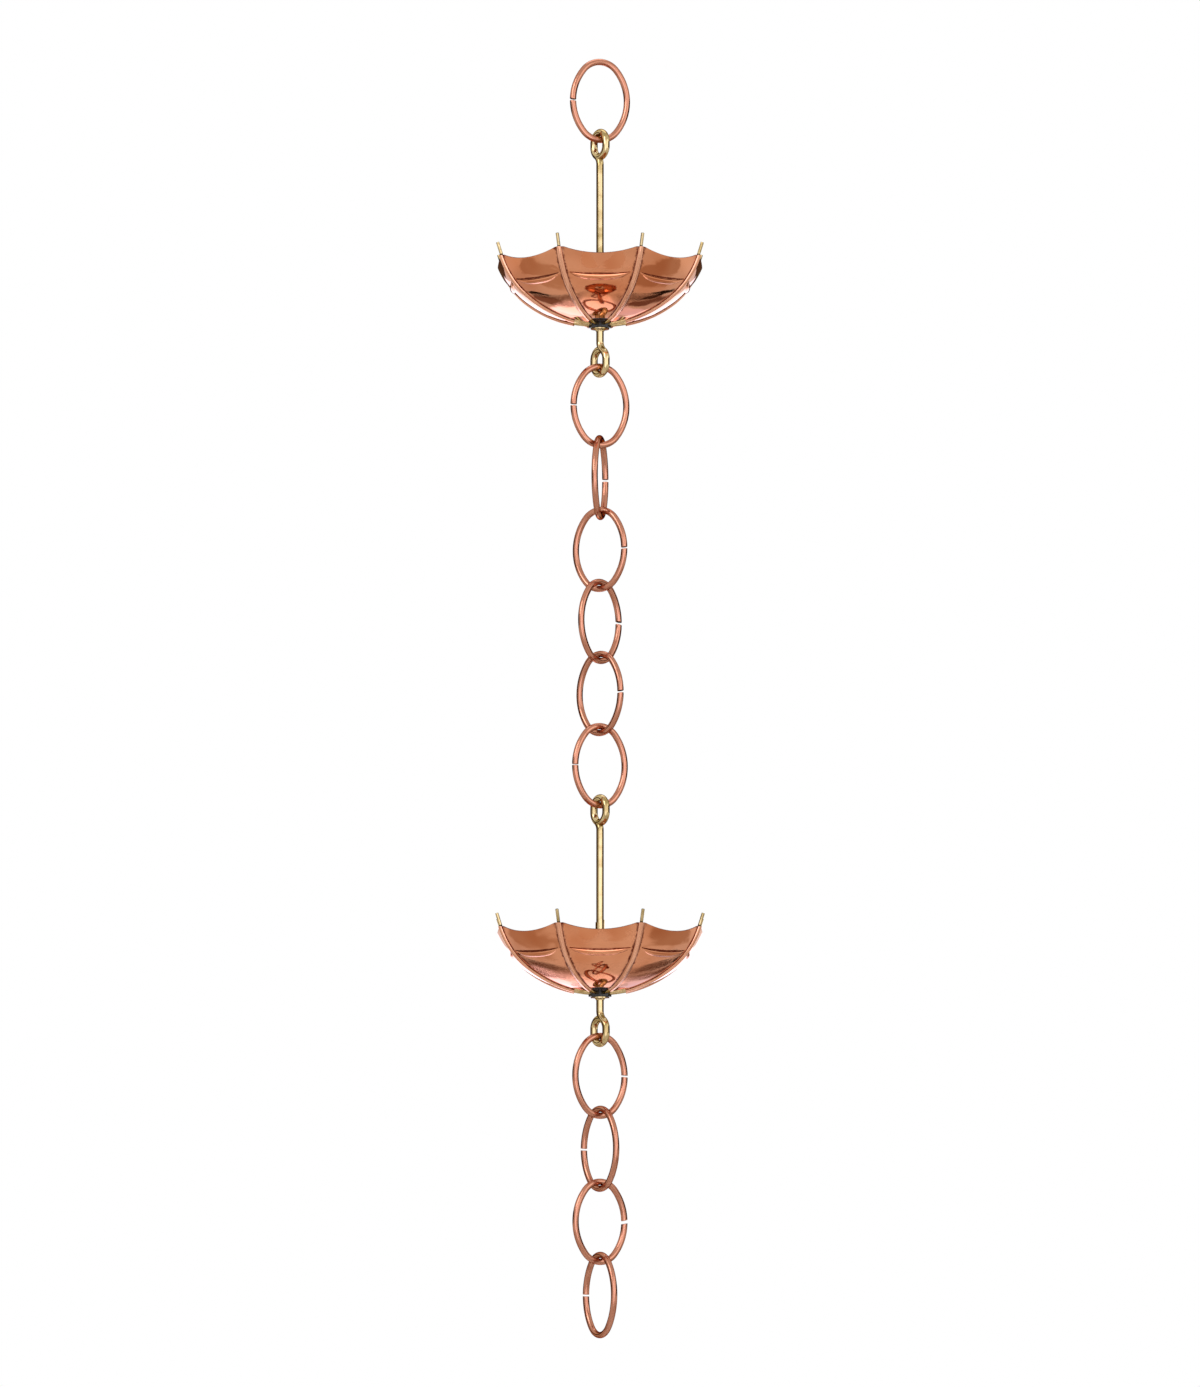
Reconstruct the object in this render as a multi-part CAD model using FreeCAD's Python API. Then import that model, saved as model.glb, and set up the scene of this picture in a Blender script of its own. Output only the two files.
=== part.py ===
"""Rain chain: copper wire links and two inverted-umbrella cups on brass stems.

The chain hangs from the inside of its top link, which is the origin, and runs down the Z axis. Each
cup is a pressed copper canopy on eight brass ribs that are plugged into a hub on the stem. The stem
has an eye at each end, in one plane. Sizes are millimetres and degrees.
"""
import FreeCAD, Part

import math
import os

from FreeCAD import Placement, Rotation, Vector

# Links, bent from round copper wire
LINK_WIRE = 4.8
LINK_OPENING_LENGTH = 54.4
LINK_OPENING_WIDTH = 36.9
LINK_END_RADIUS = 13.6
HANG_GAP = 0.3

# Each link: turn about the vertical, side of its butt joint (1 right, -1 left), gap in the joint
TOP_LINK = (14.0, -1, 1.2)
MIDDLE_LINKS = [
    (19.0, -1, 1.2),
    (79.0, 1, 1.9),
    (-30.0, 1, 1.3),
    (48.0, 1, 2.2),
    (-43.0, 1, 1.6),
    (28.0, -1, 0.8),
]
BOTTOM_LINKS = [
    (29.0, 1, 1.3),
    (-55.0, -1, 1.3),
    (30.0, 1, 2.4),
    (-60.0, -1, 1.3),
]

# Stem, a brass rod with an eye at each end
STEM_ROD = 5.6
STEM_TURN = -55.0
STEM_RISE = 121.6
STEM_DROP = 12.9
EYE_OPENING_WIDTH = 10.0
EYE_STRAIGHT = 2.8
EYE_NECK_RADIUS = 5.2
EYE_END_GAP = 0.3

# Ribs, brass wire, straight past the rim
RIB_COUNT = 8
RIB_WIRE = 2.4
RIB_BASE_RADIUS = 98.0
RIB_SHOULDER_RADIUS = 60.0
RIB_SHOULDER_SLOPE = 36.5
RIB_TIP_LENGTH = 10.4
RIB_INNER_END = 4.7

# Canopy, pressed from one copper sheet
SHEET = 0.8
RIM_SLOPE = 71.0
RIM_SCALLOP = 5.0
RIM_TIP_MARGIN = 1.0
RIM_TRIM_SLOPE = 5.0
CHANNEL_FIT = 0.1
CHANNEL_SINK = 0.3
CHANNEL_INNER_END = 21.5
TONGUE_MARGIN = 0.4
DRAIN_RADIUS = 26.0
DRAIN_TRIM = 2.0
PANEL_BULGE = 2.6
PANEL_STATIONS = 11
BEAD_PROUD = 1.1
BEAD_TOP = 30.2
BEAD_SAG = 1.8
BEAD_WIDTH = 5.4
BEAD_END_WIDTH = 0.8
BEAD_TAPER = 4
BEAD_ROOT = 0.2
BEAD_END_MARGIN = 2.2
BEAD_STATIONS = 9

# Hub, collar and sleeve on the stem
HUB_ACROSS_FLATS = 16.0
HUB_BELOW = 2.6
HUB_ABOVE = 4.2
HUB_CHAMFER = 0.6
SOCKET_FIT = 0.05
STEM_FIT = 0.05
COLLAR_DIAMETER = 13.8
COLLAR_THICKNESS = 1.0
COLLAR_FILLET = 1.4
COLLAR_FILLET_FOOT = 0.35
SLEEVE_TOP = 55.0
SLEEVE_DROP = 2.7
SLEEVE_SEAM = -98.0
SLEEVE_OPEN = 98.0
SLEEVE_WALL_TOP = 0.5
SLEEVE_WALL_BOTTOM = 1.0

UP = Vector(0, 0, 1)
STEP_ANGLE = 360.0 / RIB_COUNT
HALF_STEP = math.radians(STEP_ANGLE / 2)
LINK_END = LINK_END_RADIUS + LINK_WIRE / 2
STEM_RADIUS = STEM_ROD / 2
EYE_BEND = EYE_OPENING_WIDTH / 2 + STEM_RADIUS
NECK_BEND = EYE_NECK_RADIUS + STEM_RADIUS
CHANNEL_INSIDE = RIB_WIRE / 2 + CHANNEL_FIT
CHANNEL_OUTSIDE = CHANNEL_INSIDE + SHEET
SHEET_OUTSIDE = CHANNEL_SINK
SHEET_INSIDE = CHANNEL_SINK - SHEET / math.cos(HALF_STEP)
RAW_RIM_SLOPE = RIM_SLOPE + RIM_TRIM_SLOPE
RAW_CHANNEL_END = CHANNEL_INNER_END - DRAIN_TRIM


class Route:
    """A path in the XZ plane, drawn as straight runs and tangent bends."""

    def __init__(self, x, z, heading):
        self.place = Vector(x, 0, z)
        self.heading = math.radians(heading)
        self.start = self.place
        self.start_direction = self.direction()
        self.edges = []

    def direction(self):
        return Vector(math.cos(self.heading), 0, math.sin(self.heading))

    def run(self, length):
        end = self.place + self.direction() * length
        self.edges.append(Part.LineSegment(self.place, end).toShape())
        self.place = end
        return self

    def bend(self, radius, turn):
        """Turn left by a positive angle or right by a negative one."""
        side = math.copysign(1.0, turn)
        forward = self.direction()
        centre = self.place + Vector(-forward.z, 0, forward.x) * (side * radius)
        arm = self.place - centre
        half = Rotation(Vector(0, -1, 0), turn / 2)
        middle = centre + half.multVec(arm)
        end = centre + half.multVec(half.multVec(arm))
        self.edges.append(Part.Arc(self.place, middle, end).toShape())
        self.place = end
        self.heading += math.radians(turn)
        return self

    def sweep(self, profile):
        """Carry a face that stands at the start, square to the path, along it."""
        return Part.Wire(self.edges).makePipe(profile)

    def tube(self, radius):
        circle = Part.Circle(self.start, self.start_direction, radius).toShape()
        return self.sweep(Part.Face(Part.Wire(circle)))


def turned(shape, angle, z=0.0):
    """A copy turned about the vertical and moved to a height."""
    copy = shape.copy()
    copy.Placement = Placement(Vector(0, 0, z), Rotation(UP, angle)).multiply(copy.Placement)
    return copy


def around(shape, first=0.0):
    """Copies of a shape, one for each rib or panel."""
    return [turned(shape, first + STEP_ANGLE * i) for i in range(RIB_COUNT)]


def link(side, gap):
    """An open oval ring of wire, with its inside top at the origin."""
    half_length = LINK_OPENING_LENGTH / 2 + LINK_WIRE / 2
    half_width = LINK_OPENING_WIDTH / 2 + LINK_WIRE / 2
    rise = half_length - LINK_END
    side_radius = (half_width ** 2 + rise ** 2 - LINK_END ** 2) / (2 * (half_width - LINK_END))
    side_turn = math.degrees(math.atan2(rise, side_radius - half_width))
    end_turn = 180.0 - 2 * side_turn
    gap_turn = math.degrees(gap / 2 / side_radius)
    start = math.radians(gap_turn)
    start_x = half_width - side_radius + side_radius * math.cos(start)
    route = Route(start_x, side_radius * math.sin(start), 90.0 + gap_turn)
    route.bend(side_radius, side_turn - gap_turn).bend(LINK_END, end_turn)
    route.bend(side_radius, 2 * side_turn).bend(LINK_END, end_turn)
    route.bend(side_radius, side_turn - gap_turn)
    ring = route.tube(LINK_WIRE / 2)
    ring.translate(Vector(0, 0, -LINK_OPENING_LENGTH / 2))
    if side < 0:
        ring.rotate(Vector(0, 0, 0), UP, 180.0)
    return ring


def eye_turns():
    """The neck's bend, and how far the eye's end stops short of the neck."""
    neck = math.degrees(math.acos(NECK_BEND / (NECK_BEND + EYE_BEND)))
    reach = NECK_BEND + EYE_BEND
    outside = EYE_BEND + STEM_RADIUS
    clear = NECK_BEND + STEM_RADIUS + EYE_END_GAP
    cosine = (reach ** 2 + outside ** 2 - clear ** 2) / (2 * reach * outside)
    return neck, 90.0 + neck - math.degrees(math.acos(cosine))


def eye_height():
    """From the start of the neck to the inside of the eye's far end."""
    neck, _ = eye_turns()
    centre = (NECK_BEND + EYE_BEND) * math.sin(math.radians(neck))
    return centre + EYE_STRAIGHT + EYE_OPENING_WIDTH / 2


def stem():
    """A rod along the axis with an eye at each end, each bent back until its end meets the neck."""
    neck, last = eye_turns()
    upper = Route(0, -STEM_DROP, 90.0).run(STEM_RISE + STEM_DROP)
    upper.bend(NECK_BEND, neck).bend(EYE_BEND, -neck).run(EYE_STRAIGHT)
    upper.bend(EYE_BEND, -180.0).run(EYE_STRAIGHT).bend(EYE_BEND, -last)
    lower = Route(0, -STEM_DROP, -90.0)
    lower.bend(NECK_BEND, neck).bend(EYE_BEND, -neck).run(EYE_STRAIGHT)
    lower.bend(EYE_BEND, -180.0).run(EYE_STRAIGHT).bend(EYE_BEND, -last)
    rod = upper.tube(STEM_RADIUS).fuse(lower.tube(STEM_RADIUS)).removeSplitter()
    return turned(rod, STEM_TURN)


def rib_route(inner_end, slope, tip=0.0):
    """The rib's centre line, from a distance off the axis out to a slope, then straight."""
    first = math.degrees(math.asin(inner_end / RIB_BASE_RADIUS))
    start_z = RIB_BASE_RADIUS * (1 - math.cos(math.radians(first)))
    route = Route(inner_end, start_z, first)
    route.bend(RIB_BASE_RADIUS, RIB_SHOULDER_SLOPE - first)
    route.bend(RIB_SHOULDER_RADIUS, slope - RIB_SHOULDER_SLOPE)
    if tip:
        route.run(tip)
    return route


def meridian(slope, offset):
    """Distance off the axis and height where the rib's line has a slope, moved out square to it."""
    angle = math.radians(slope)
    start = math.radians(RIB_SHOULDER_SLOPE)
    if slope <= RIB_SHOULDER_SLOPE:
        radius = RIB_BASE_RADIUS + offset
        return radius * math.sin(angle), RIB_BASE_RADIUS - radius * math.cos(angle)
    step = RIB_BASE_RADIUS - RIB_SHOULDER_RADIUS
    radius = RIB_SHOULDER_RADIUS + offset
    reach = step * math.sin(start) + radius * math.sin(angle)
    return reach, RIB_BASE_RADIUS - step * math.cos(start) - radius * math.cos(angle)


RIM_REACH, RIM_HEIGHT = meridian(RIM_SLOPE, 0.0)


def slope_at(height, offset):
    """The slope of the rib's line, moved out, at a height on its shoulder."""
    step = RIB_BASE_RADIUS - RIB_SHOULDER_RADIUS
    centre = RIB_BASE_RADIUS - step * math.cos(math.radians(RIB_SHOULDER_SLOPE))
    return math.degrees(math.acos((centre - height) / (RIB_SHOULDER_RADIUS + offset)))


def panel_reach(corner, across):
    """How far a panel lies from the axis, at a distance across it from its middle."""
    half = corner * math.sin(HALF_STEP)
    bulge = PANEL_BULGE * corner / RIM_REACH
    radius = (half ** 2 + bulge ** 2) / (2 * bulge)
    return corner * math.cos(HALF_STEP) + bulge - radius + math.sqrt(radius ** 2 - across ** 2)


def panel_point(slope, across, lift):
    """A point on the outside of a panel, lifted square to the panel's middle line."""
    corner, height = meridian(slope, SHEET_OUTSIDE)
    lean = math.atan(math.tan(math.radians(slope)) * corner / panel_reach(corner, 0.0))
    outward = Vector(math.sin(lean), 0, -math.cos(lean))
    return Vector(panel_reach(corner, across), across, height) + outward * lift


def panel_ring(slope, offset):
    """One level section round the canopy: eight bowed panels that meet at the ribs."""
    corner, height = meridian(slope, offset)
    half = corner * math.sin(HALF_STEP)
    left = Vector(corner * math.cos(HALF_STEP), -half, height)
    right = Vector(corner * math.cos(HALF_STEP), half, height)
    middle = Vector(panel_reach(corner, 0.0), 0, height)
    return Part.Wire(around(Part.Arc(left, middle, right).toShape()))


def bowl(offset, first, last):
    """A solid bowl through level sections between two slopes."""
    slopes = [first + (last - first) * i / (PANEL_STATIONS - 1) for i in range(PANEL_STATIONS)]
    return Part.makeLoft([panel_ring(slope, offset) for slope in slopes], True, False)


def bead():
    """The round crescent-shaped ridge across a panel, which keeps its width and tapers near its ends."""
    upper_slope = slope_at(BEAD_TOP, SHEET_OUTSIDE)
    end_corner, _ = meridian(upper_slope, SHEET_OUTSIDE)
    reach = end_corner * math.sin(HALF_STEP) - CHANNEL_OUTSIDE - BEAD_END_MARGIN
    radius = RIB_SHOULDER_RADIUS + SHEET_OUTSIDE
    sections = []
    for i in range(BEAD_STATIONS):
        share = 2 * i / (BEAD_STATIONS - 1) - 1
        top = slope_at(BEAD_TOP - BEAD_SAG * (1 - share ** 2), SHEET_OUTSIDE)
        width = BEAD_END_WIDTH + (BEAD_WIDTH - BEAD_END_WIDTH) * (1 - share ** BEAD_TAPER)
        span = math.degrees(width / radius)
        upper = panel_point(top, reach * share, -BEAD_ROOT)
        crest = panel_point(top - span / 2, reach * share, BEAD_PROUD * width / BEAD_WIDTH)
        lower = panel_point(top - span, reach * share, -BEAD_ROOT)
        edges = [Part.Arc(upper, crest, lower).toShape(), Part.LineSegment(lower, upper).toShape()]
        sections.append(Part.Wire(edges))
    return Part.makeLoft(sections, True, False)


def channel_groove():
    """The space under a rib channel: round over the rib and open to the inside of the cup."""
    route = rib_route(RIB_INNER_END, RAW_RIM_SLOPE)
    forward = route.start_direction
    inward = Vector(-forward.z, 0, forward.x)
    across = Vector(0, 1, 0) * CHANNEL_INSIDE
    left = route.start - across
    right = route.start + across
    top = route.start - inward * CHANNEL_INSIDE
    depth = inward * (CHANNEL_OUTSIDE + SHEET)
    edges = [
        Part.Arc(left, top, right).toShape(),
        Part.LineSegment(right, right + depth).toShape(),
        Part.LineSegment(right + depth, left + depth).toShape(),
        Part.LineSegment(left + depth, left).toShape(),
    ]
    return route.sweep(Part.Face(Part.Wire(edges)))


def rim_cuts():
    """What is trimmed off above the rim: everything over the channels' ends, and a scallop per panel."""
    half = RIM_REACH * math.sin(HALF_STEP) - CHANNEL_OUTSIDE - RIM_TIP_MARGIN
    radius = (half ** 2 + RIM_SCALLOP ** 2) / (2 * RIM_SCALLOP)
    centre = Vector(0, 0, RIM_HEIGHT - RIM_SCALLOP + radius)
    outside = 2 * RIM_REACH
    scallop = Part.makeCylinder(radius, outside, centre, Vector(1, 0, 0))
    slab = Part.makeCylinder(outside, outside, Vector(0, 0, RIM_HEIGHT))
    return [slab] + around(scallop)


def drain_cut():
    """The opening round the hub, with a tongue left at each rib."""
    _, top = meridian(RIB_SHOULDER_SLOPE, 0.0)
    base = Vector(0, 0, -top)
    width = 2 * (CHANNEL_OUTSIDE + TONGUE_MARGIN)
    disc = Part.makeCylinder(DRAIN_RADIUS, 2 * top, base)
    tongue = Part.makeBox(2 * DRAIN_RADIUS, width, 2 * top, base - Vector(0, width / 2, 0))
    core = Part.makeCylinder(CHANNEL_INNER_END, 2 * top, base)
    return disc.cut(around(tongue, STEP_ANGLE / 2)).fuse(core)


def canopy():
    """The pressed sheet: bowl, rib channels and beads, hollowed, then trimmed at rim and drain."""
    inner_slope = math.degrees(math.asin(RIB_INNER_END / RIB_BASE_RADIUS))
    outer_slope = math.degrees(math.asin(RAW_CHANNEL_END / RIB_BASE_RADIUS))
    outside = bowl(SHEET_OUTSIDE, outer_slope, RAW_RIM_SLOPE)
    inside = bowl(SHEET_INSIDE, inner_slope, RAW_RIM_SLOPE)
    bead_slope = slope_at(BEAD_TOP - BEAD_SAG, SHEET_OUTSIDE)
    channel = rib_route(RAW_CHANNEL_END, RAW_RIM_SLOPE).tube(CHANNEL_OUTSIDE)
    ridge = bead()
    recess = ridge.translated(panel_point(bead_slope, 0.0, -SHEET) - panel_point(bead_slope, 0.0, 0.0))
    sheet = outside.fuse(around(channel, STEP_ANGLE / 2) + around(ridge))
    sheet = sheet.cut([inside])
    sheet = sheet.cut(around(channel_groove(), STEP_ANGLE / 2))
    sheet = sheet.cut(around(recess))
    sheet = sheet.cut(rim_cuts() + [drain_cut()])
    return sheet


def rib():
    return rib_route(RIB_INNER_END, RIM_SLOPE, RIB_TIP_LENGTH).tube(RIB_WIRE / 2)


def octagon(across_flats, bottom, top):
    """An upright prism with a flat towards each rib."""
    radius = across_flats / 2 / math.cos(HALF_STEP)
    corners = [Rotation(UP, STEP_ANGLE * i).multVec(Vector(radius, 0, bottom)) for i in range(RIB_COUNT)]
    face = Part.Face(Part.makePolygon(corners + corners[:1]))
    return face.extrude(Vector(0, 0, top - bottom))


def hub():
    """The block on the stem that the ribs are plugged into, one rib in each flat."""
    block = octagon(HUB_ACROSS_FLATS, -HUB_BELOW, HUB_ABOVE)
    top_edges = [edge for edge in block.Edges if edge.BoundBox.ZMin > HUB_ABOVE - HUB_CHAMFER]
    block = block.makeChamfer(HUB_CHAMFER, top_edges)
    depth = HUB_BELOW + HUB_ABOVE
    bore = Part.makeCylinder(STEM_RADIUS + STEM_FIT, depth, Vector(0, 0, -HUB_BELOW))
    socket = rib_route(RIB_INNER_END - SOCKET_FIT, RIM_SLOPE).tube(RIB_WIRE / 2 + SOCKET_FIT)
    return block.cut([bore] + around(socket, STEP_ANGLE / 2))


def turned_ring(points, sweep=360.0):
    """A ring, or part of one, turned from a section in the XZ plane."""
    section = Part.makePolygon([Vector(x, 0, z) for x, z in points + points[:1]])
    return Part.Face(section).revolve(Vector(0, 0, 0), UP, sweep)


def collar():
    """The thin flange under the hub, with a fillet of solder down the stem."""
    bore = STEM_RADIUS + STEM_FIT
    top = -HUB_BELOW
    bottom = top - COLLAR_THICKNESS
    edge = COLLAR_DIAMETER / 2
    return turned_ring([
        (bore, top),
        (edge, top),
        (edge, bottom),
        (bore + COLLAR_FILLET, bottom),
        (bore + COLLAR_FILLET_FOOT, bottom - COLLAR_FILLET),
        (bore, bottom - COLLAR_FILLET),
    ])


def sleeve():
    """The flared strip rolled round the stem on top of the hub, open on one side and cut aslant."""
    bore = STEM_RADIUS + STEM_FIT
    edge = bore + SLEEVE_WALL_BOTTOM
    wrap = turned_ring([
        (bore, HUB_ABOVE),
        (edge, HUB_ABOVE),
        (bore + SLEEVE_WALL_TOP, SLEEVE_TOP),
        (bore, SLEEVE_TOP),
    ], 360.0 - SLEEVE_OPEN)
    above = Part.makeBox(4 * edge, 4 * edge, 2 * SLEEVE_DROP, Vector(-2 * edge, -2 * edge, 0))
    above.rotate(Vector(0, 0, 0), Vector(1, 0, 0), math.degrees(math.atan(SLEEVE_DROP / (2 * edge))))
    above = turned(above, -SLEEVE_OPEN / 2, SLEEVE_TOP - SLEEVE_DROP / 2)
    return turned(wrap.cut(above), SLEEVE_SEAM + SLEEVE_OPEN)


def cup_pieces():
    """The pieces of one cup, by name, with the ribs' lowest point at the origin."""
    pieces = {
        "stem": stem(),
        "canopy": canopy(),
        "hub": hub(),
        "collar": collar(),
        "sleeve": sleeve(),
    }
    for number, shape in enumerate(around(rib(), STEP_ANGLE / 2), start=1):
        pieces[f"rib_{number}"] = shape
    return pieces


class Chain:
    """Hangs pieces one under another, by name. The seat is where the next one's loop rests."""

    def __init__(self):
        self.nodes = {}
        self.seat = 0.0
        self.count = 0

    def hang_link(self, name, turn, side, gap):
        self.nodes[name] = turned(link(side, gap), turn, self.seat)
        self.seat += HANG_GAP - LINK_OPENING_LENGTH

    def hang_links(self, rows):
        for row in rows:
            self.count += 1
            self.hang_link(f"chain_link_{self.count}", *row)

    def hang_cup(self, prefix, pieces):
        height = self.seat - STEM_RISE - eye_height()
        for name, shape in pieces.items():
            self.nodes[f"{prefix}_{name}"] = turned(shape, 0.0, height)
        self.seat = height - STEM_DROP - eye_height() + HANG_GAP


def build():
    chain = Chain()
    cup = cup_pieces()
    chain.hang_link("top_link", *TOP_LINK)
    chain.hang_cup("upper", cup)
    chain.hang_links(MIDDLE_LINKS)
    chain.hang_cup("lower", cup)
    chain.hang_links(BOTTOM_LINKS)
    return chain.nodes


def main():
    os.makedirs("parts", exist_ok=True)
    for name, shape in build().items():
        shape.exportStep(os.path.join("parts", f"{name}.step"))


if __name__ == "__main__":
    main()
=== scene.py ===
"""Looks of a rain chain: copper wire links and inverted-umbrella cups on brass stems.

Laid out as a Blender add-on and run as a script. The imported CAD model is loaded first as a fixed
frame, and every piece is modelled where its CAD node is. Sizes are metres and radians.
"""
from math import acos, asin, atan, atan2, ceil, copysign, cos, exp, pi, radians, sin, sqrt, tan, tau

import bmesh
import bpy
from mathutils import Matrix, Vector, noise


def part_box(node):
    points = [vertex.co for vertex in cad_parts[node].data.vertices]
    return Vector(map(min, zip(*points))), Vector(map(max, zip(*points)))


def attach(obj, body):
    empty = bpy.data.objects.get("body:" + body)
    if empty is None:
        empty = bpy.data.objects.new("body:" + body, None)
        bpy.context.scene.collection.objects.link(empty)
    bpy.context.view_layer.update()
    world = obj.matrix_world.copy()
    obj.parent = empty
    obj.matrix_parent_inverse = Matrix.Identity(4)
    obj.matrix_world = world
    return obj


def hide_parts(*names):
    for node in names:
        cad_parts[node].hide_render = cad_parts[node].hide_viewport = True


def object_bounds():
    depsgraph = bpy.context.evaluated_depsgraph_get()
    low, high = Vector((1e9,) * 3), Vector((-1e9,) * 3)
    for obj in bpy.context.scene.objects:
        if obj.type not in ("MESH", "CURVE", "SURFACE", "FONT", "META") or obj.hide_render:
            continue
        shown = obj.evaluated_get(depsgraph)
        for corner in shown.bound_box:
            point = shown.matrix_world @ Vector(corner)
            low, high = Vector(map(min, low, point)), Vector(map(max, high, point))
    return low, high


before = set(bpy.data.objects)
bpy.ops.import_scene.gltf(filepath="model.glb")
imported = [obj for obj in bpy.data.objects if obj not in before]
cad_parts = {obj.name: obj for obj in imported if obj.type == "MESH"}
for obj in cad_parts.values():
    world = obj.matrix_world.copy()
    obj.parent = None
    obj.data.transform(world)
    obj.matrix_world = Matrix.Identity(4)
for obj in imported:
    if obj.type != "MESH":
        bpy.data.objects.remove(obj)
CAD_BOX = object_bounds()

bl_info = {
    "name": "Rain chain",
    "version": (1, 0, 0),
    "blender": (4, 5, 0),
    "location": "3D View > Sidebar > Rain chain",
    "description": "Models the copper links, umbrella cups and studio of a rain chain",
    "category": "Mesh",
}

# Each link: turn about the vertical in degrees, side of its butt joint, gap, slant of the cut in degrees
LINKS = {
    "top_link": (14.0, -1, 0.0012, 6.0),
    "chain_link_1": (19.0, -1, 0.0012, 4.0),
    "chain_link_2": (79.0, 1, 0.0019, -3.0),
    "chain_link_3": (-30.0, 1, 0.0013, 7.0),
    "chain_link_4": (48.0, 1, 0.0022, -14.0),
    "chain_link_5": (-43.0, 1, 0.0016, 9.0),
    "chain_link_6": (28.0, -1, 0.0008, 3.0),
    "chain_link_7": (29.0, 1, 0.0013, -5.0),
    "chain_link_8": (-55.0, -1, 0.0013, 5.0),
    "chain_link_9": (30.0, 1, 0.0024, 12.0),
    "chain_link_10": (-60.0, -1, 0.0013, 4.0),
}
CUPS = ("upper", "lower")
# Cloths below the set: bearing in degrees from the back, distance, width, reach, colour and strength
PATCHES = {
    "left_dark_fold": (37.0, 1.10, 0.22, 1.9, "#20160F", 1.0),
    "left_brown_fold": (30.0, 1.05, 0.34, 1.9, "#8E7468", 1.0),
    "left_bounce": (16.0, 1.20, 0.55, 2.2, "#E4E2FF", 3.2),
    "under_bounce": (0.0, 0.55, 0.34, 0.9, "#F2EEFF", 2.1),
    "left_cloth": (78.0, 1.60, 1.30, 2.8, "#CDBFB2", 1.0),
    "right_dark_fold": (-38.0, 1.10, 0.26, 1.9, "#20160F", 1.0),
    "right_brown_fold": (-30.0, 1.05, 0.42, 1.9, "#7E6458", 1.0),
    "right_bounce": (-14.0, 1.20, 0.34, 2.2, "#E4E2FF", 1.5),
    "right_cloth": (-80.0, 1.60, 1.30, 2.8, "#C4B4A6", 1.0),
    "front_left_fold": (166.0, 1.00, 0.34, 1.7, "#EDE4DC", 1.0),
    "front_right_fold": (-161.0, 1.05, 0.44, 1.8, "#E6DBD2", 1.0),
}
# Studio lamps: place from the middle of the chain, size, power and colour
LAMPS = {
    "key": ((-1.6, -1.9, 1.4), 1.2, 20.0, "#EEF1FF"),
    "fill": ((1.9, -1.6, 0.6), 1.7, 12.0, "#EEF1FF"),
    "top": ((0.0, 0.5, 2.4), 1.6, 20.0, "#DCE4FF"),
}
# Brown walls far behind the set, which darken the edges of rods: bearings in degrees, distance and size
WALL_BEARINGS = (-90.0, -45.0, 0.0, 45.0, 90.0)
WALL_AWAY = 7.0
WALL_SIZE = (6.0, 2.3)
# How far the floor and the cloths lie below the chain, and how strongly the white room lights matt things
FLOOR_DROP = 1.2
CLOTH_DROP = 0.29
ROOM_LIGHT = 0.75
# Brass finishes: roughness of the polish, and the noise level from which there are pits
BRASSES = {
    "satin_brass_rod": (0.06, 0.70),
    "satin_brass_wire": (0.09, 0.66),
    "satin_brass_fittings": (0.10, 0.64),
}
AXIS = Vector((0.0, 0.0, 1.0))

# How finely the meshes are divided, and how much columns and rows crowd beside a channel and the rim
WIRE_SIDES = 40
BEND_STEP = 0.0009
RUN_STEP = 0.0013
ARC_COLUMNS = 8
FILLET_COLUMNS = 4
PANEL_COLUMNS = 17
LOWER_ROWS = 27
BEAD_ROWS = 30
UPPER_ROWS = 18
COLUMN_CROWDING = 1.35
ROW_CROWDING = 1.6
RING_STEPS = 64
SLEEVE_STEPS = 48

# Angle in degrees from which an edge counts as sharp
EDGE_ANGLE = 40.0
# Rounding of the cut ends, and how far dirt reaches along a rib from the rim
LINK_CUT = 0.0002
STEM_CUT = 0.0003
RIB_CUT = 0.00015
RIB_DIRT = 0.002
# Rounding of a bead's feet, the finely divided strip round it, and the share of it where the dish starts
FOOT_ROUNDING = 0.0003
BEAD_ZONE = 0.0007
DISH_START = 0.6
# Oxide, with painted shade: lines along a bead's edges, the upper one partly painted shade, and how far it
# reaches from a channel, the rim and their corner; by the rim it is a painted dark line
BEAD_LINE = 0.0004
BEAD_LINE_SHIFT = 0.0001
CHANNEL_STAIN = 0.0012
RIM_SHADE = 0.0002
CORNER_STAIN = 0.007
CORNER_STAIN_ASIDE = 0.004
# Distance from a channel at which the buff reaches the sheet fully
BUFF_REACH = 0.005
# Waves in the sheet: size of long and short ones, height of the short ones, and shift between the cups
LONG_WAVE = 0.026
SHORT_WAVE = 0.010
SHORT_SHARE = 0.4
WAVE_SHIFT = 7.3

# Attributes that the materials read
STRAIGHT = "straight"
CUT = "cut"
# Oxide in the creases, with painted shade along the bead's upper edge and on the rim
OXIDE_AND_SHADE = "crease"
OPEN = "open"


def linear(code):
    """An sRGB hex colour as a linear RGBA value."""
    channels = [int(code[i:i + 2], 16) / 255.0 for i in (1, 3, 5)]
    return [c / 12.92 if c <= 0.04045 else ((c + 0.055) / 1.055) ** 2.4 for c in channels] + [1.0]


def length(description, default):
    """A size that the user can change."""
    return bpy.props.FloatProperty(
        description=description, default=default, min=0.0, unit="LENGTH", precision=5)


def angle(description, degrees):
    """An angle that the user can change."""
    return bpy.props.FloatProperty(
        description=description, default=radians(degrees), subtype="ANGLE")


def colour(description, code):
    """A colour that the user can change."""
    return bpy.props.FloatVectorProperty(
        description=description, default=linear(code), size=4, min=0.0, max=1.0, subtype="COLOR")


class RAINCHAIN_PG_link(bpy.types.PropertyGroup):
    """Sizes of the wire links."""
    wire: length("Diameter of the copper wire", 0.0048)
    opening_length: length("Inside length of a link", 0.0544)
    opening_width: length("Inside width of a link", 0.0369)
    end_radius: length("Inside radius of a link's ends", 0.0136)


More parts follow.
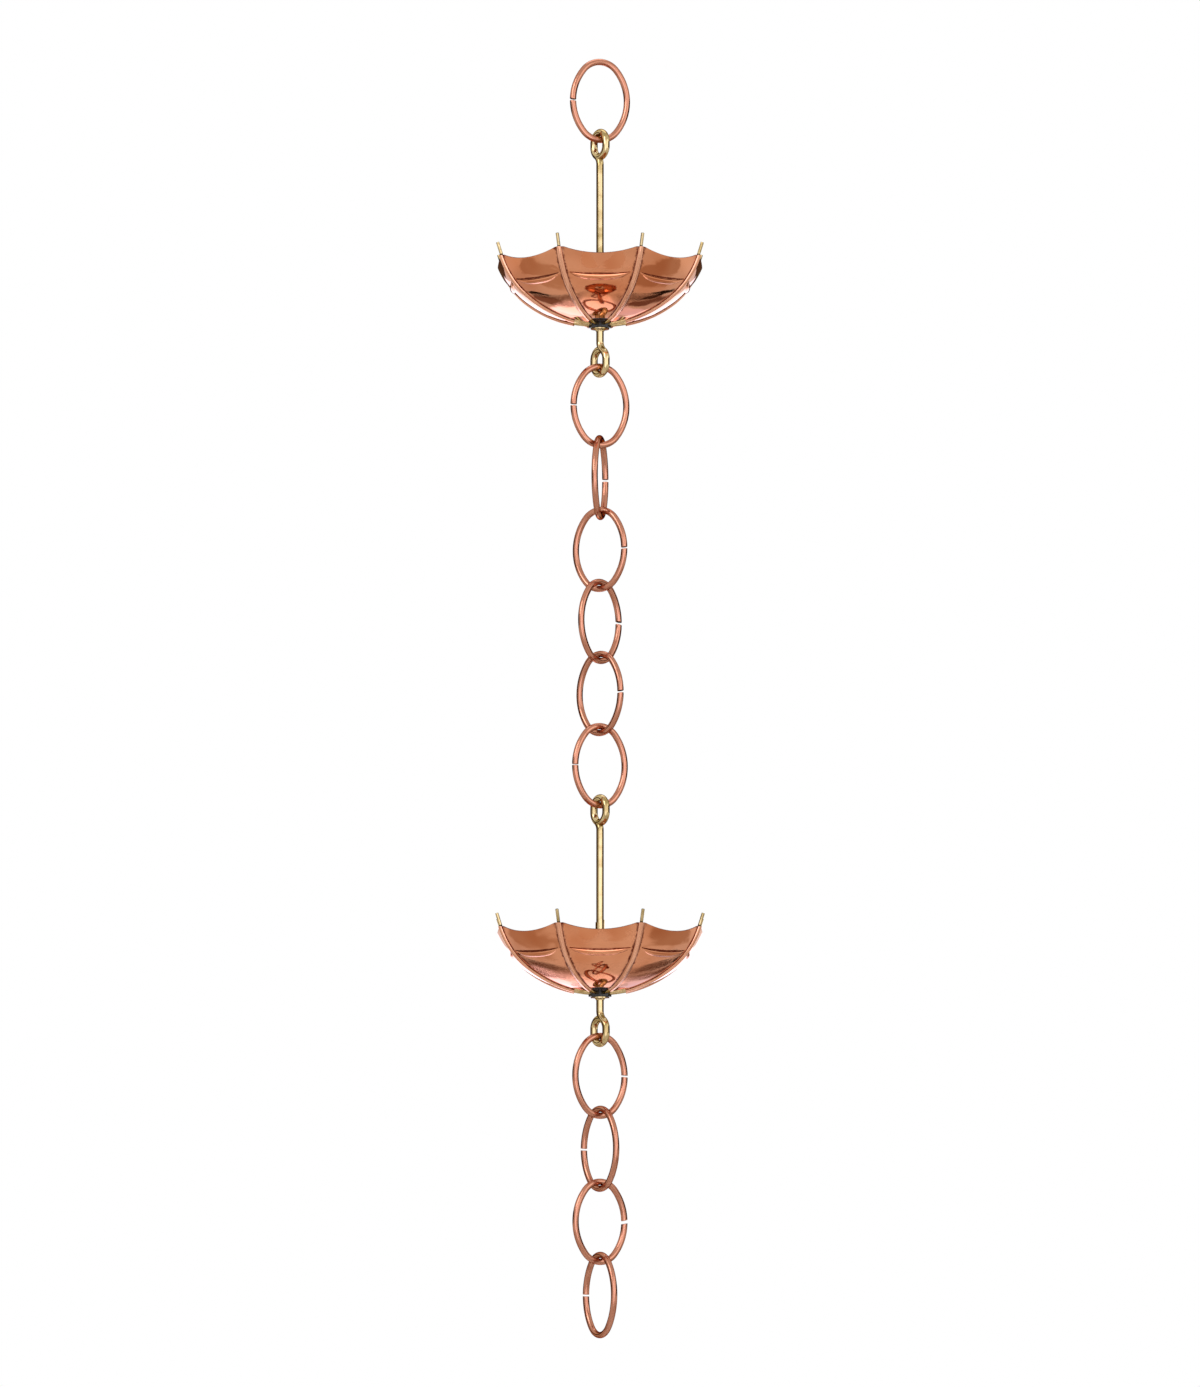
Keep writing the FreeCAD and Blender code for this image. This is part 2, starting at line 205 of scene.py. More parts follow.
class RAINCHAIN_PG_stem(bpy.types.PropertyGroup):
    """Sizes of the brass stems."""
    rod: length("Diameter of the brass rod", 0.0056)
    turn: angle("Turn of both eyes about the vertical", -55.0)
    rise: length("From the foot of the cup up to the upper eye's neck", 0.1216)
    drop: length("From the foot of the cup down to the lower eye's neck", 0.0129)
    eye_width: length("Inside width of an eye", 0.010)
    eye_straight: length("Straight part of an eye's sides", 0.0028)
    neck_radius: length("Inside radius of the bend below an eye", 0.0052)
    end_gap: length("Gap between the rod's end and its neck", 0.0003)


class RAINCHAIN_PG_rib(bpy.types.PropertyGroup):
    """Sizes of the umbrella's ribs."""
    count: bpy.props.IntProperty(description="Ribs in a cup", default=8, min=3)
    wire: length("Diameter of a rib", 0.0024)
    base_radius: length("Curve of a rib near the hub", 0.098)
    shoulder_radius: length("Curve of a rib near the rim", 0.060)
    shoulder_slope: angle("Slope at which the shoulder starts", 36.5)
    rim_slope: angle("Slope of a rib at the rim", 71.0)
    tip: length("Straight end of a rib past the rim", 0.0104)
    inner_end: length("Distance of a rib's inner end from the axis", 0.0047)


class RAINCHAIN_PG_sheet(bpy.types.PropertyGroup):
    """Sizes of the pressed canopy sheets."""
    thickness: length("Thickness of the copper sheet", 0.0008)
    scallop: length("Depth of the rim's dip between two ribs", 0.005)
    tip_margin: length("Level part of the rim beside a channel", 0.001)
    channel_fit: length("Gap between a rib and its channel", 0.0001)
    channel_sink: length("How far the panels lie outside the ribs' centre lines", 0.0003)
    channel_end: length("Distance of the channels' inner ends from the axis", 0.0215)
    channel_foot: length("Radius of the crease beside a channel", 0.0006)
    drain_radius: length("Radius of the open drain round the hub", 0.026)
    bulge: length("How far a panel bows out at the rim", 0.0050)
    bead_proud: length("How far the bead across a panel stands out", 0.0011)
    bead_top: length("Height of the ends of a bead's upper edge", 0.0302)
    bead_sag: length("How far a bead's upper edge sags between its ends", 0.0018)
    bead_width: length("Width of a bead in its middle", 0.0054)
    bead_end: length("Width of a bead at its ends", 0.0008)
    bead_taper: bpy.props.FloatProperty(description="How late a bead narrows", default=4.0)
    bead_root: length("How far a bead's flanks reach into the sheet", 0.0002)
    bead_margin: length("Gap between a bead's end and a channel", 0.0022)
    dish: length("How deep the sheet is drawn in above a bead", 0.0008)
    dish_reach: length("How far up from a bead the sheet is drawn in", 0.008)
    wave: length("Height of the slow waves left by pressing and buffing", 0.00016)


class RAINCHAIN_PG_fitting(bpy.types.PropertyGroup):
    """Sizes of the hub, collar and sleeve on a stem."""
    hub_across: length("Width of the black hub", 0.016)
    hub_below: length("Depth of the hub below the ribs' lowest point", 0.0026)
    hub_above: length("Height of the hub above the ribs' lowest point", 0.0042)
    hub_edge: length("Rounding of the hub's edges", 0.0005)
    stem_fit: length("Gap between the stem and what is on it", 0.00005)
    collar: length("Diameter of the collar", 0.0138)
    collar_thickness: length("Thickness of the collar", 0.001)
    collar_fillet: length("Size of the solder fillet under the collar", 0.0014)
    sleeve_top: length("Height of the sleeve's higher edge", 0.055)
    sleeve_drop: length("How much lower the sleeve's other edge is", 0.0027)
    sleeve_wall_top: length("Wall of the sleeve at its top", 0.0005)
    sleeve_wall_bottom: length("Wall of the sleeve at the hub", 0.001)
    sleeve_seam: angle("Where the sleeve's open side starts", -98.0)
    sleeve_open: angle("How wide the sleeve's open side is", 98.0)


class RAINCHAIN_PG_finish(bpy.types.PropertyGroup):
    """Colours of the metals."""
    copper: colour("Polished copper sheet", "#D89068")
    copper_warm: colour("Sheet where the polish is warmer", "#CB7C52")
    # Painted highlight: a lighter sheet colour on the rib channels, where they would catch the light
    channel_highlight: colour("Sheet rubbed bright on the rib channels", "#E0A280")
    # Red-brown oxide in the creases, also the colour of the painted shade in the bead's upper edge and on
    # the rim
    tarnish: colour("Red-brown oxide in the sheet's creases", "#5C1B09")
    wire: colour("Bare drawn copper wire", "#BC8268")
    wire_oxide: colour("Oxide on the wire", "#8A4A34")
    cut_end: colour("Sheared end of a wire", "#4A2418")
    brass: colour("Satin brass rod", "#CBB384")
    brass_dull: colour("Brass where it has dulled", "#A68E5C")
    brass_dirt: colour("Dirt in pits and seams of the brass", "#3A2A14")
    edge: colour("Tint of the thin oxide where the metal is seen at a slant", "#6B4A32")
    hub: colour("Black lacquer on the hub", "#0C0B0A")


class RAINCHAIN_PG_settings(bpy.types.PropertyGroup):
    """All sizes and colours of the rain chain."""
    link: bpy.props.PointerProperty(type=RAINCHAIN_PG_link)
    stem: bpy.props.PointerProperty(type=RAINCHAIN_PG_stem)
    rib: bpy.props.PointerProperty(type=RAINCHAIN_PG_rib)
    sheet: bpy.props.PointerProperty(type=RAINCHAIN_PG_sheet)
    fitting: bpy.props.PointerProperty(type=RAINCHAIN_PG_fitting)
    finish: bpy.props.PointerProperty(type=RAINCHAIN_PG_finish)


# Materials

def add(tree, kind, inputs=None, **settings):
    """Adds a node with its settings. An input is a value, or another node or its output to link."""
    node = tree.nodes.new(f"ShaderNode{kind}")
    for name, value in settings.items():
        setattr(node, name, value)
    for name, value in (inputs or {}).items():
        if isinstance(value, bpy.types.Node):
            value = next(output for output in value.outputs if output.enabled)
        if isinstance(value, bpy.types.NodeSocket):
            tree.links.new(value, node.inputs[name])
        else:
            node.inputs[name].default_value = value
    return node


def new_material(name):
    """An empty node material and its tree."""
    material = bpy.data.materials.new(name)
    material.use_nodes = True
    material.node_tree.nodes.clear()
    return material, material.node_tree


def polished_copper_sheet(name, finish):
    """Copper sheet, pressed and buffed: open panels are a slightly hazy mirror, the channels that the buff
    only brushed are satin and lighter in colour as a painted highlight, red-brown oxide is left in the
    creases, with painted shade in the line along the bead's upper edge and in the dark line on the rim,
    and there are a few dark specks."""
    material, tree = new_material(name)
    place = add(tree, "TexCoord").outputs["Object"]
    # The crease attribute carries oxide and painted shade: the bead's upper line is partly shade, the rim's
    # line is all shade
    crease = add(tree, "Attribute", attribute_name=OXIDE_AND_SHADE).outputs["Fac"]
    panel = add(tree, "Attribute", attribute_name=OPEN).outputs["Fac"]
    # Cloudy colour 40 mm across, haze of 12 mm, oxide and painted shade in runs of 6 mm and broken up at
    # 1.6 mm
    cloud = add(tree, "TexNoise", {"Vector": place, "Scale": 1 / 0.040, "Detail": 2.0})
    haze = add(tree, "TexNoise", {"Vector": place, "Scale": 1 / 0.012, "Detail": 3.0})
    crumble = add(tree, "TexNoise", {"Vector": place, "Scale": 1 / 0.0016, "Detail": 4.0})
    runs = add(tree, "TexNoise", {"Vector": place, "Scale": 1 / 0.006, "Detail": 1.0})
    fine = add(tree, "Math", {0: crumble, 1: 0.7, 2: -0.6}, operation="MULTIPLY_ADD")
    broken = add(tree, "Math", {0: runs, 1: 0.6, 2: fine}, operation="MULTIPLY_ADD")
    oxide_and_shade_level = add(tree, "Math", {0: crease, 1: broken}, operation="ADD")
    edge = add(tree, "MapRange", {0: oxide_and_shade_level, 1: 0.34, 2: 0.86}, interpolation_type="SMOOTHSTEP")
    # Specks about 0.4 mm wide, one in each 9 mm or so
    dots = add(tree, "TexVoronoi", {"Vector": place, "Scale": 1 / 0.009})
    dot = add(tree, "MapRange", {0: dots, 1: 0.032, 2: 0.018})
    oxide_shade_and_specks = add(tree, "Math", {0: edge, 1: dot}, operation="MAXIMUM")
    tint = add(tree, "MapRange", {0: cloud, 1: 0.4, 2: 0.62})
    flat = add(tree, "Mix", {0: tint, 6: finish.copper, 7: finish.copper_warm}, data_type="RGBA")
    # Painted highlight: the channels, where the sheet is not open to the buff, take the lighter channel
    # colour
    rubbed = add(tree, "MapRange", {0: panel, 1: 0.0, 2: 0.1, 3: 1.0, 4: 0.0})
    base = add(tree, "Mix", {0: rubbed, 6: flat, 7: finish.channel_highlight}, data_type="RGBA")
    mixed = add(tree, "Mix", {0: oxide_shade_and_specks, 6: base, 7: finish.tarnish}, data_type="RGBA")
    buffed = add(tree, "MapRange", {0: haze, 1: 0.3, 2: 0.7, 3: 0.04, 4: 0.085})
    reached = add(tree, "MapRange", {0: panel, 1: 0.0, 2: 0.3, 3: 0.1, 4: 0.0})
    polish = add(tree, "Math", {0: buffed, 1: reached}, operation="ADD")
    rough = add(tree, "Mix", {0: oxide_shade_and_specks, 2: polish, 3: 0.42})
    bump = add(tree, "Bump", {"Height": crumble, "Strength": edge, "Distance": 0.00012})
    shader = add(tree, "BsdfPrincipled", {
        "Base Color": mixed, "Metallic": 1.0, "Roughness": rough, "Normal": bump})
    add(tree, "OutputMaterial", {"Surface": shader})
    return material


def drawn_copper_wire(name, finish):
    """Bare copper wire, drawn and bent cold: a satin pink metal with fine lines along it, blotches of
    oxide, and dull dark faces where it was sheared."""
    material, tree = new_material(name)
    place = add(tree, "TexCoord").outputs["Object"]
    along = add(tree, "Attribute", attribute_name=STRAIGHT).outputs["Vector"]
    cut = add(tree, "Attribute", attribute_name=CUT).outputs["Fac"]
    # Die lines 0.35 mm apart and 25 mm long, drawn coarser than real ones so that they show
    squeeze = add(tree, "Mapping", {0: along, 3: (1 / 0.025, 1 / 0.00035, 1 / 0.00035)})
    lines = add(tree, "TexNoise", {"Vector": squeeze, "Scale": 1.0, "Detail": 3.0})
    blotch = add(tree, "TexNoise", {"Vector": place, "Scale": 1 / 0.007, "Detail": 5.0})
    pit = add(tree, "TexNoise", {"Vector": place, "Scale": 1 / 0.0007, "Detail": 2.0})
    oxide = add(tree, "MapRange", {0: blotch, 1: 0.48, 2: 0.8, 4: 0.6}, interpolation_type="SMOOTHSTEP")
    speck = add(tree, "MapRange", {0: pit, 1: 0.7, 2: 0.8, 4: 0.5})
    dull = add(tree, "Math", {0: oxide, 1: speck}, operation="MAXIMUM")
    streak = add(tree, "MapRange", {0: lines, 1: 0.3, 2: 0.7, 3: 0.0, 4: 0.25})
    share = add(tree, "Math", {0: dull, 1: streak}, operation="MAXIMUM")
    base = add(tree, "Mix", {0: share, 6: finish.wire, 7: finish.wire_oxide}, data_type="RGBA")
    ended = add(tree, "Mix", {0: cut, 6: base, 7: finish.cut_end}, data_type="RGBA")
    satin = add(tree, "MapRange", {0: lines, 1: 0.3, 2: 0.7, 3: 0.15, 4: 0.24})
    rough = add(tree, "Mix", {0: dull, 2: satin, 3: 0.34})
    bump = add(tree, "Bump", {"Height": lines, "Strength": 0.2, "Distance": 0.00004})
    shader = add(tree, "BsdfPrincipled", {
        "Base Color": ended, "Metallic": 1.0, "Roughness": rough, "Normal": bump,
        "Specular Tint": finish.edge})
    add(tree, "OutputMaterial", {"Surface": shader})
    return material


def satin_brass(name, finish):
    """Yellow brass, drawn and hand polished: a soft mirror with draw lines, dull patches and dirty pits."""
    polish, pits = BRASSES[name]
    material, tree = new_material(name)
    place = add(tree, "TexCoord").outputs["Object"]
    along = add(tree, "Attribute", attribute_name=STRAIGHT).outputs["Vector"]
    cut = add(tree, "Attribute", attribute_name=CUT).outputs["Fac"]
    # Draw lines 0.3 mm apart and 18 mm long, drawn coarser than real ones so that they show
    squeeze = add(tree, "Mapping", {0: along, 3: (1 / 0.018, 1 / 0.0003, 1 / 0.0003)})
    lines = add(tree, "TexNoise", {"Vector": squeeze, "Scale": 1.0, "Detail": 3.0})
    patch = add(tree, "TexNoise", {"Vector": place, "Scale": 1 / 0.009, "Detail": 4.0})
    hole = add(tree, "TexNoise", {"Vector": place, "Scale": 1 / 0.0011, "Detail": 2.0})
    dulled = add(tree, "MapRange", {0: patch, 1: 0.42, 2: 0.7}, interpolation_type="SMOOTHSTEP")
    pitted = add(tree, "MapRange", {0: hole, 1: pits, 2: pits + 0.06})
    ragged = add(tree, "Math", {0: hole, 1: 1.2, 2: cut}, operation="MULTIPLY_ADD")
    caked = add(tree, "MapRange", {0: ragged, 1: 1.05, 2: 1.35})
    dirt = add(tree, "Math", {0: pitted, 1: caked}, operation="MAXIMUM")
    base = add(tree, "Mix", {0: dulled, 6: finish.brass, 7: finish.brass_dull}, data_type="RGBA")
    soiled = add(tree, "Mix", {0: dirt, 6: base, 7: finish.brass_dirt}, data_type="RGBA")
    satin = add(tree, "MapRange", {0: lines, 1: 0.3, 2: 0.7, 3: polish, 4: polish + 0.07})
    rough = add(tree, "Mix", {0: dirt, 2: satin, 3: 0.5})
    bump = add(tree, "Bump", {"Height": lines, "Strength": 0.25, "Distance": 0.00003})
    shader = add(tree, "BsdfPrincipled", {
        "Base Color": soiled, "Metallic": 1.0, "Roughness": rough, "Normal": bump,
        "Specular Tint": finish.edge})
    add(tree, "OutputMaterial", {"Surface": shader})
    return material


def black_lacquer(name, finish):
    """Black lacquer on steel, dipped: a soft grey sheen, slightly uneven and rubbed."""
    material, tree = new_material(name)
    place = add(tree, "TexCoord").outputs["Object"]
    rub = add(tree, "TexNoise", {"Vector": place, "Scale": 1 / 0.003, "Detail": 4.0})
    rough = add(tree, "MapRange", {0: rub, 1: 0.3, 2: 0.7, 3: 0.18, 4: 0.42})
    bump = add(tree, "Bump", {"Height": rub, "Strength": 0.3, "Distance": 0.0001})
    shader = add(tree, "BsdfPrincipled", {"Base Color": finish.hub, "Roughness": rough, "Normal": bump})
    add(tree, "OutputMaterial", {"Surface": shader})
    return material


def made_once(name, make, finish):
    """The material of that name, made when it is first asked for."""
    return bpy.data.materials.get(name) or make(name, finish)


# Shapes

def edges_of(geometry):
    """The edges among what a bmesh operator returns."""
    return [part for part in geometry if isinstance(part, bmesh.types.BMEdge)]


def verts_of(geometry):
    """The vertices among what a bmesh operator returns."""
    return [part for part in geometry if isinstance(part, bmesh.types.BMVert)]


def everything(mesh):
    """All parts of a mesh, to hand to a bmesh operator."""
    return mesh.verts[:] + mesh.edges[:] + mesh.faces[:]


class Wire:
    """A round wire grown through straight runs and tangent bends in the XZ plane.

    Each vertex keeps its place on the straightened wire, for patterns that follow it.
    """

    def __init__(self, diameter, place, heading):
        self.mesh = bmesh.new()
        self.straight = self.mesh.verts.layers.float_vector.new(STRAIGHT)
        self.cut = self.mesh.verts.layers.float.new(CUT)
        self.place = Vector(place)
        self.heading = heading
        self.along = 0.0
        self.sense = 1.0
        self.rims = []
        circle = bmesh.ops.create_circle(self.mesh, segments=WIRE_SIDES, radius=diameter / 2)["verts"]
        for vert in circle:
            vert[self.straight] = (0.0, vert.co.x, vert.co.y)
        facing = Matrix.Rotation(pi / 2 - heading, 4, "Y")
        bmesh.ops.transform(self.mesh, matrix=Matrix.Translation(self.place) @ facing, verts=circle)
        self.ring = self.mesh.edges[:]
        self.start = (self.ring, self.place.copy(), heading)

    def direction(self):
        """Where the wire heads."""
        return Vector((cos(self.heading), 0.0, sin(self.heading)))

    def run(self, distance):
        """Grow straight on."""
        steps = ceil(distance / RUN_STEP)
        move = self.direction() * (distance / steps)
        for _ in range(steps):
            made = bmesh.ops.extrude_edge_only(self.mesh, edges=self.ring)["geom"]
            fresh = set(verts_of(made))
            self.ring = [edge for edge in edges_of(made) if fresh.issuperset(edge.verts)]
            bmesh.ops.translate(self.mesh, vec=move, verts=list(fresh))
            self.along += self.sense * distance / steps
            for vert in fresh:
                vert[self.straight].x = self.along
        self.place += self.direction() * distance
        return self

    def bend(self, radius, turn):
        """Turn left by a positive angle or right by a negative one."""
        side = copysign(1.0, turn)
        forward = self.direction()
        centre = self.place + Vector((-forward.z, 0.0, forward.x)) * side * radius
        arm = self.place - centre
        known = len(self.mesh.verts)
        made = bmesh.ops.spin(
            self.mesh, geom=self.ring, cent=centre, axis=(0.0, -1.0, 0.0), angle=turn,
            steps=max(2, ceil(abs(turn) * radius / BEND_STEP)))["geom_last"]
        self.ring = edges_of(made)
        for vert in self.mesh.verts[:][known:]:
            spoke = vert.co - centre
            swept = atan2((arm.x * spoke.z - arm.z * spoke.x) * side, arm.dot(spoke)) % tau
            vert[self.straight].x = self.along + self.sense * radius * swept
        self.along += self.sense * radius * abs(turn)
        self.place = centre + Matrix.Rotation(turn, 3, (0.0, -1.0, 0.0)) @ arm
        self.heading += turn
        return self

    def turn_back(self):
        """Go on from the first ring, the other way."""
        self.rims.append((self.ring, self.direction()))
        self.ring, self.place, self.heading = self.start
        self.heading += pi
        self.along = 0.0
        self.sense = -1.0
        return self

    def close(self, bevel, slant=0.0, both=True):
        """Cap the ends: cut at a slant, with a rounded edge and a sheared face."""
        self.rims.append((self.ring, self.direction()))
        if both:
            ring, _, heading = self.start
            self.rims.append((ring, Vector((cos(heading), 0.0, sin(heading)))))
        for ring, facing in self.rims:
            for vert in {vert for edge in ring for vert in edge.verts}:
                vert.co += facing * tan(slant) * vert[self.straight].y
            cap = bmesh.ops.edgeloop_fill(self.mesh, edges=ring)["faces"]
            bmesh.ops.inset_region(self.mesh, faces=cap, thickness=bevel * 2)
            for vert in cap[0].verts:
                vert[self.cut] = 1.0
            bmesh.ops.bevel(
                self.mesh, geom=ring, offset=bevel, offset_type="OFFSET", segments=3, profile=0.5,
                affect="EDGES", material=-1)
        bmesh.ops.recalc_face_normals(self.mesh, faces=self.mesh.faces)
        return self.mesh


def as_object(mesh, name, material):
    """Turns a finished mesh into an object of the scene."""
    data = bpy.data.meshes.new(name)
    mesh.to_mesh(data)
    mesh.free()
    data.materials.append(material)
    thing = bpy.data.objects.new(name, data)
    bpy.context.scene.collection.objects.link(thing)
    return thing


def add_piece(mesh, name, node, body, material, sharp=EDGE_ANGLE):
    """Makes a mesh a piece that stands for a CAD node and moves with its body."""
    piece = as_object(mesh, name, material)
    if not piece.data.polygons:
        raise RuntimeError(f"{name} has no faces")
    piece.data.shade_smooth()
    piece.data.set_sharp_from_angle(angle=radians(sharp))
    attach(piece, body)
    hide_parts(node)
    return piece


def cup_height(fitting, cup):
    """Height of a cup's lowest rib point, from its hub in the CAD frame."""
    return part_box(f"{cup}_hub")[0].z + fitting.hub_below


def set_in_cup(mesh, settings, cup, turn=0.0):
    """Turns a cup's piece about the stem and moves it up to its cup."""
    place = Matrix.Translation(AXIS * cup_height(settings.fitting, cup)) @ Matrix.Rotation(turn, 4, "Z")
    bmesh.ops.transform(mesh, matrix=place, verts=mesh.verts)


def meridian(rib, distance, offset=0.0):
    """Reach, height and slope at a distance along a rib's line, moved out square to it."""
    bend = rib.base_radius * rib.shoulder_slope
    if distance <= bend:
        slope = distance / rib.base_radius
        radius = rib.base_radius + offset
        return radius * sin(slope), rib.base_radius - radius * cos(slope), slope
    slope = rib.shoulder_slope + (distance - bend) / rib.shoulder_radius
    step = rib.base_radius - rib.shoulder_radius
    radius = rib.shoulder_radius + offset
    reach = step * sin(rib.shoulder_slope) + radius * sin(slope)
    height = rib.base_radius - step * cos(rib.shoulder_slope) - radius * cos(slope)
    return reach, height, slope


def solve(value, low, high):
    """Where a rising function passes zero."""
    for _ in range(40):
        middle = (low + high) / 2
        if value(middle) < 0:
            low = middle
        else:
            high = middle
    return (low + high) / 2


def lower_rounded(first, second, rounding):
    """The lower of two values, rounded off where they meet."""
    blend = max(0.0, rounding - abs(first - second))
    return min(first, second) - blend ** 2 / (4 * rounding)


class HalfPanel:
    """The outside of the sheet from the middle of a rib channel to the middle of the next panel.

    The panel lies across the X axis. A column is a line up the sheet and a row a line across it.
    """

    def __init__(self, rib, sheet):
        self.rib = rib
        self.sheet = sheet
        self.half_step = pi / rib.count
        self.channel = rib.wire / 2 + sheet.channel_fit + sheet.thickness
        past_shoulder = rib.shoulder_radius * (rib.rim_slope - rib.shoulder_slope)
        rim_length = rib.base_radius * rib.shoulder_slope + past_shoulder
        self.rim_reach, self.rim_height, _ = meridian(rib, rim_length)
        self.spare = rim_length * 1.1
        self.bow = 2 * atan(sheet.bulge / (self.rim_reach * sin(self.half_step)))
        self.lean = self.half_step - self.bow
        self.level = self.rim_reach * sin(self.half_step) - self.channel - sheet.tip_margin
        self.dip_radius = (self.level ** 2 + sheet.scallop ** 2) / (2 * sheet.scallop)
        ends = solve(lambda x: meridian(rib, x)[1] - sheet.bead_top, 0.0, self.spare)
        half_face = meridian(rib, ends)[0] * sin(self.half_step)
        self.bead_reach = half_face - self.channel - sheet.bead_margin
        self.columns = ARC_COLUMNS + FILLET_COLUMNS + PANEL_COLUMNS
        self.rows = LOWER_ROWS + BEAD_ROWS + UPPER_ROWS
        self.marks = [self.column_marks(column) for column in range(self.columns + 1)]

    def crease_circle(self, slope):
        """The rounded crease beside a channel: its centre, aside and out, and the panel's fall."""
        fall = atan(tan(self.lean) * sin(slope))
        tangent = tan(fall)
        foot = self.sheet.channel_foot
        lift = self.sheet.channel_sink + foot / cos(fall)
        both = self.channel + foot
        root = sqrt((tangent * lift) ** 2 - (1 + tangent ** 2) * (lift ** 2 - both ** 2))
        aside = (tangent * lift + root) / (1 + tangent ** 2)
        return aside, lift - tangent * aside, fall

    def smooth_point(self, column, distance):
        """A point of the sheet without its bead."""
        reach, height, slope = meridian(self.rib, distance)
        aside, out, fall = self.crease_circle(slope)
        foot = self.sheet.channel_foot
        if column <= ARC_COLUMNS + FILLET_COLUMNS:
            turn = atan2(aside, out)
            if column <= ARC_COLUMNS:
                turn *= column / ARC_COLUMNS
                aside = self.channel * sin(turn)
                out = self.channel * cos(turn)
            else:
                turn += (fall - turn) * (column - ARC_COLUMNS) / FILLET_COLUMNS
                aside -= foot * sin(turn)
                out -= foot * cos(turn)
            point = Vector((reach + out * sin(slope), -aside, height - out * cos(slope)))
            return Matrix.Rotation(self.half_step, 3, "Z") @ point
        aside -= foot * sin(fall)
        share = ((column - ARC_COLUMNS - FILLET_COLUMNS) / PANEL_COLUMNS) ** COLUMN_CROWDING
        shift = aside * tan(self.lean) * cos(slope) * (1 - share)
        corner, height, _ = meridian(self.rib, distance - shift, self.sheet.channel_sink)
        half = corner * sin(self.half_step)
        across = (half - aside * cos(self.bow) / cos(self.lean)) * (1 - share)
        bulge = self.sheet.bulge * corner / self.rim_reach
        radius = (half ** 2 + bulge ** 2) / (2 * bulge)
        face = corner * cos(self.half_step) + bulge - radius + sqrt(radius ** 2 - across ** 2)
        return Vector((face, across, height))

    def rim_at(self, across):
        """Height of the scalloped rim."""
        if across >= self.level:
            return self.rim_height
        return self.rim_height - self.sheet.scallop + self.dip_radius - sqrt(
            self.dip_radius ** 2 - across ** 2)

    def bead_at(self, across):
        """Height of the bead's upper edge, and the bead's width there."""
        sheet = self.sheet
        share = min(1.0, across / self.bead_reach)
        width = sheet.bead_end + (sheet.bead_width - sheet.bead_end) * (1 - share ** sheet.bead_taper)
        return sheet.bead_top - sheet.bead_sag * (1 - share ** 2), width

    def column_marks(self, column):
        """How far along the rib a column meets the drain and the bead, the bead's width, and the rim."""
        on_panel = column > ARC_COLUMNS + FILLET_COLUMNS
        edge = self.sheet.drain_radius if on_panel else self.sheet.channel_end
        drain = solve(lambda x: self.smooth_point(column, x).xy.length - edge, 0.0, self.spare)

        def bead_here(x):
            point = self.smooth_point(column, x)
            return point.z, self.bead_at(point.y if on_panel else self.bead_reach)

        def above_bead(x):
            height, (top, _) = bead_here(x)
            return height - top

        def above_rim(x):
            point = self.smooth_point(column, x)
            return point.z - (self.rim_at(point.y) if on_panel else self.rim_height)

        top = solve(above_bead, 0.0, self.spare)
        return drain, top, bead_here(top)[1][1], solve(above_rim, 0.0, self.spare)

    def bead_height(self, below, width):
        """How far the sheet stands out at a distance below the bead's upper edge."""
        sheet = self.sheet
        half = width / 2
        rise = sheet.bead_proud * width / sheet.bead_width + sheet.bead_root
        radius = (half ** 2 + rise ** 2) / (2 * rise)
        aside = min(abs(below - half), half)
        past = abs(below - half) - aside
        arc = sqrt(radius ** 2 - aside ** 2) - radius + rise - sheet.bead_root - past
        return -lower_rounded(-arc, 0.0, FOOT_ROUNDING)

    def dish_depth(self, below, width):
        """How far the sheet is drawn in at a distance below the bead's upper edge."""
        sheet = self.sheet
        left = max(0.0, 1.0 + min(0.0, below) / sheet.dish_reach)
        step = min(1.0, max(0.0, DISH_START - below / BEAD_ZONE))
        return sheet.dish * width / sheet.bead_width * left ** 2 * step ** 2 * (3 - 2 * step)

    def point(self, column, row):
        """A point of the sheet, how much oxide and painted shade lie there, and how open to the buff it is.
        """
        drain, top, width, rim = self.marks[column]
        foot = top - width - BEAD_ZONE
        head = top + BEAD_ZONE
        if row < LOWER_ROWS:
            distance = drain + (foot - drain) * row / LOWER_ROWS
        elif row <= LOWER_ROWS + BEAD_ROWS:
            distance = foot + (head - foot) * (row - LOWER_ROWS) / BEAD_ROWS
        else:
            left = 1 - (row - LOWER_ROWS - BEAD_ROWS) / UPPER_ROWS
            distance = rim - (rim - head) * left ** ROW_CROWDING
        place = self.smooth_point(column, distance)
        turn = column - ARC_COLUMNS
        if turn <= FILLET_COLUMNS:
            crease = max(0.0, 1.0 - abs(turn - FILLET_COLUMNS * 0.6) / FILLET_COLUMNS)
            return place, crease, 0.0
        away = (self.smooth_point(ARC_COLUMNS + FILLET_COLUMNS, distance) - place).length
        below = top - distance
        inside = min(1.0, max(0.0, (self.bead_reach - place.y) / BEAD_ZONE + 1.0))
        _, _, slope = meridian(self.rib, distance)
        share = cos(self.half_step) + self.sheet.bulge / self.rim_reach
        steep = atan(tan(slope) / share)
        proud = (self.bead_height(below, width) - self.dish_depth(below, width)) * inside
        place += Vector((sin(steep), 0.0, -cos(steep))) * proud
        # Oxide lies along the bead's upper edge, with painted shade in that line, faintly along its lower
        # one, by a channel and at the corner by the rim; the line on the rim is painted shade
        bead_oxide_and_shade = max(0.95 * exp(-((below - BEAD_LINE_SHIFT) / BEAD_LINE) ** 2),
                        0.4 * exp(-((below - width) / BEAD_LINE) ** 2)) * inside
        near_channel = 0.85 * exp(-away / CHANNEL_STAIN)
        # Painted shade: a dark line in the oxide colour along the rim's edge, standing in for a dark
        # reflection
        painted_rim_shade = 0.8 * exp(-(rim - distance) / RIM_SHADE)
        near_corner = 0.85 * exp(-(rim - distance) / CORNER_STAIN - away / CORNER_STAIN_ASIDE)
        return place, max(bead_oxide_and_shade, near_channel, painted_rim_shade, near_corner), min(1.0, away / BUFF_REACH)


